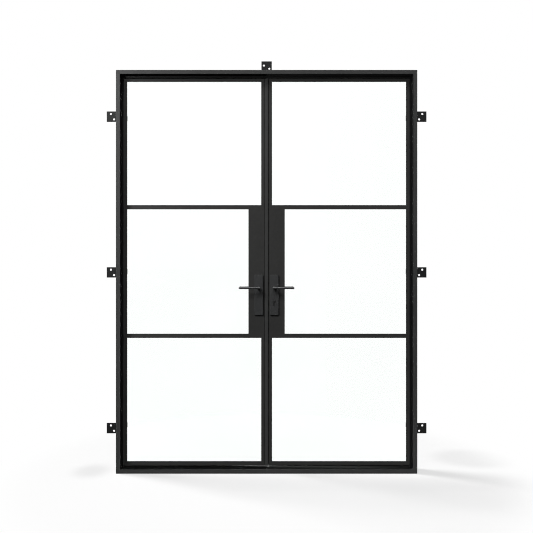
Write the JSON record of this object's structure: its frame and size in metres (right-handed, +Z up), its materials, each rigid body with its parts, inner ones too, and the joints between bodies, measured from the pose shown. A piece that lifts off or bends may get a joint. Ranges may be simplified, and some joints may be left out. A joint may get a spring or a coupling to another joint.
{
  "type": "glazed double door",
  "caption": "Slim-profile glazed steel double door in a welded tube frame with wall anchor tabs, lever handles, a mortise lock and shoot bolts.",
  "frame": {"origin": "centre of the sill's underside, mid width and mid depth of the frame", "axes": "+X to the right seen from the front, +Y into the opening towards the side the leaves swing to, +Z up"},
  "size_m": [1.956, 0.171, 2.506],
  "materials": {
    "black_frame": "satin black powder coat",
    "black_leaf": "satin black powder coat",
    "black_hardware": "smooth satin black coat",
    "black_screw": "black oxide",
    "clear_glass": "clear polished",
    "black_spacer": "matt",
    "seal_rubber": "matt",
    "pin_steel": "blackened",
    "lock_steel": "zinc plated",
    "cylinder_metal": "blackened satin"
  },
  "bodies": {
    "frame": {"frame_head": "black_frame", "frame_sill": "black_frame", "frame_left_jamb": "black_frame", "frame_right_jamb": "black_frame", "door_stops": "black_frame", "anchor_tabs": "black_frame", "frame_hinge_knuckles": "black_frame", "hinge_pins": "pin_steel", "stop_gaskets": "seal_rubber"},
    "left_leaf": {"left_hinge_stile": "black_leaf", "left_meeting_stile": "black_leaf", "left_top_rail": "black_leaf", "left_bottom_rail": "black_leaf", "left_muntins": "black_leaf", "left_lock_panel": "black_leaf", "left_glazing_beads": "black_leaf", "left_hinge_knuckles": "black_leaf", "left_top_glass": "clear_glass", "left_middle_glass": "clear_glass", "left_bottom_glass": "clear_glass", "left_glass_spacers": "black_spacer", "left_glazing_tape": "seal_rubber", "left_bead_screws": "black_screw", "left_plate_screws": "black_screw", "left_front_plate": "black_hardware", "left_back_plate": "black_hardware", "astragal": "black_leaf", "strike_plate": "lock_steel", "passive_gearbox": "lock_steel"},
    "left_lever": {"left_front_lever": "black_hardware", "left_back_lever": "black_hardware", "left_spindle": "lock_steel"},
    "right_leaf": {"right_hinge_stile": "black_leaf", "right_meeting_stile": "black_leaf", "right_top_rail": "black_leaf", "right_bottom_rail": "black_leaf", "right_muntins": "black_leaf", "right_lock_panel": "black_leaf", "right_glazing_beads": "black_leaf", "right_hinge_knuckles": "black_leaf", "right_top_glass": "clear_glass", "right_middle_glass": "clear_glass", "right_bottom_glass": "clear_glass", "right_glass_spacers": "black_spacer", "right_glazing_tape": "seal_rubber", "right_bead_screws": "black_screw", "right_plate_screws": "black_screw", "right_front_plate": "black_hardware", "right_back_plate": "black_hardware", "lock_case": "lock_steel", "lock_cylinder": "cylinder_metal", "key_plug": "cylinder_metal"},
    "right_lever": {"right_front_lever": "black_hardware", "right_back_lever": "black_hardware", "right_spindle": "lock_steel"},
    "top_shoot_bolt": {"top_shoot_bolt": "lock_steel"},
    "bottom_shoot_bolt": {"bottom_shoot_bolt": "lock_steel"},
    "latch_bolt": {"latch_bolt": "lock_steel"},
    "deadbolt": {"deadbolt": "lock_steel"},
    "thumbturn": {"thumbturn": "black_hardware"}
  },
  "joints": [
    {"name": "left_leaf_swing", "type": "hinge", "parent": "frame", "child": "left_leaf", "pos_m": [-0.8832, 0.067, 1.22], "axis": [0, 0, 1], "range_deg": [0, 170]},
    {"name": "right_leaf_swing", "type": "hinge", "parent": "frame", "child": "right_leaf", "pos_m": [0.8832, 0.067, 1.22], "axis": [0, 0, -1], "range_deg": [0, 170]},
    {"name": "right_lever_turn", "type": "hinge", "parent": "right_leaf", "child": "right_lever", "pos_m": [0.047, 0.03475, 1.12], "axis": [0, 1, 0], "range_deg": [0, 45], "stiffness_Nm_per_rad": 0.8, "springref_deg": -28.65},
    {"name": "latch_slide", "type": "slide", "parent": "right_leaf", "child": "latch_bolt", "axis": [1, 0, 0], "range_m": [0, 0.012]},
    {"name": "deadbolt_slide", "type": "slide", "parent": "right_leaf", "child": "deadbolt", "axis": [-1, 0, 0], "range_m": [0, 0.02]},
    {"name": "thumbturn_turn", "type": "hinge", "parent": "right_leaf", "child": "thumbturn", "pos_m": [0.047, 0.03475, 1.032], "axis": [0, -1, 0], "range_deg": [0, 90]},
    {"name": "left_lever_turn", "type": "hinge", "parent": "left_leaf", "child": "left_lever", "pos_m": [-0.049, 0.03475, 1.12], "axis": [0, 1, 0], "range_deg": [0, 45]},
    {"name": "top_bolt_slide", "type": "slide", "parent": "left_leaf", "child": "top_shoot_bolt", "axis": [0, 0, 1], "range_m": [0, 0.017]},
    {"name": "bottom_bolt_slide", "type": "slide", "parent": "left_leaf", "child": "bottom_shoot_bolt", "axis": [0, 0, -1], "range_m": [0, 0.017]}
  ],
  "couplings": [
    {"joint": "latch_slide", "follows": "right_lever_turn", "m_per_rad": 0.01527},
    {"joint": "thumbturn_turn", "follows": "deadbolt_slide", "rad_per_m": 78.53},
    {"joint": "top_bolt_slide", "follows": "left_lever_turn", "m_per_rad": 0.02164},
    {"joint": "bottom_bolt_slide", "follows": "left_lever_turn", "m_per_rad": 0.02164}
  ]
}
